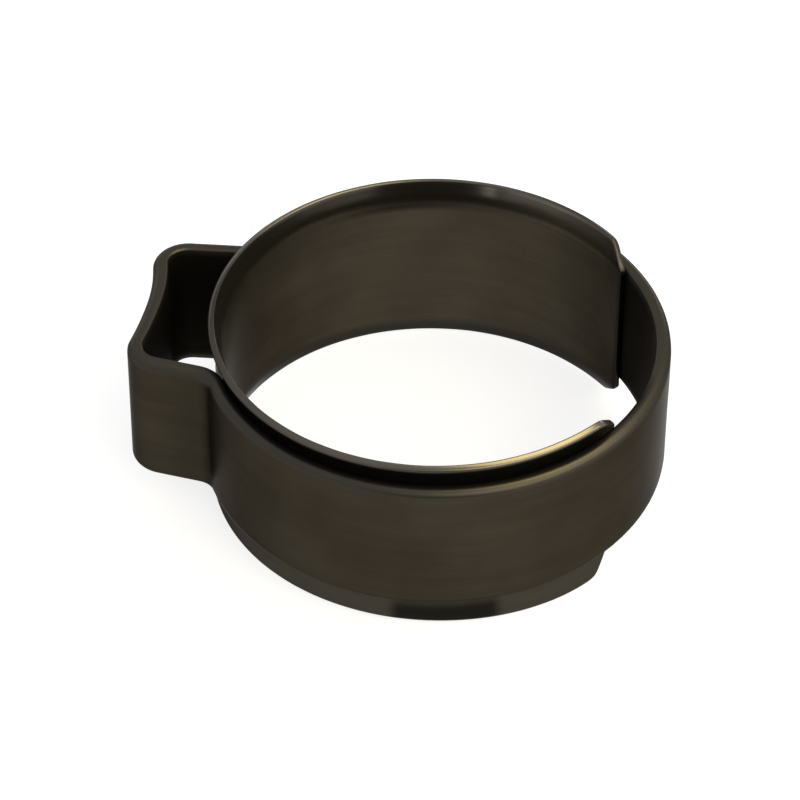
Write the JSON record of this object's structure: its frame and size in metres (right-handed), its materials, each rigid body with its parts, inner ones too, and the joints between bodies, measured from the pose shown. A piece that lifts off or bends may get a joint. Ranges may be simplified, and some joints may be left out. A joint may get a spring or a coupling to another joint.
{
  "type": "ear hose clamp",
  "caption": "Single-ear crimp hose clamp: a closed steel band with a formed ear round a thin open insert ring with flared lips.",
  "frame": {"origin": "centre of the bore, on its axis, at the ring's mid-height", "axes": "+Z along the bore's axis, the ear points along -X, the ring's gap faces +X"},
  "size_m": [0.0235, 0.0206, 0.0088],
  "materials": {
    "band_steel": "dark burnished stainless strip, faintly brushed round the band",
    "ring_steel": "dark burnished thin stainless strip, brushed round the bore"
  },
  "bodies": {
    "root": {"ear_band": "band_steel", "insert_ring": "ring_steel"}
  },
  "joints": []
}
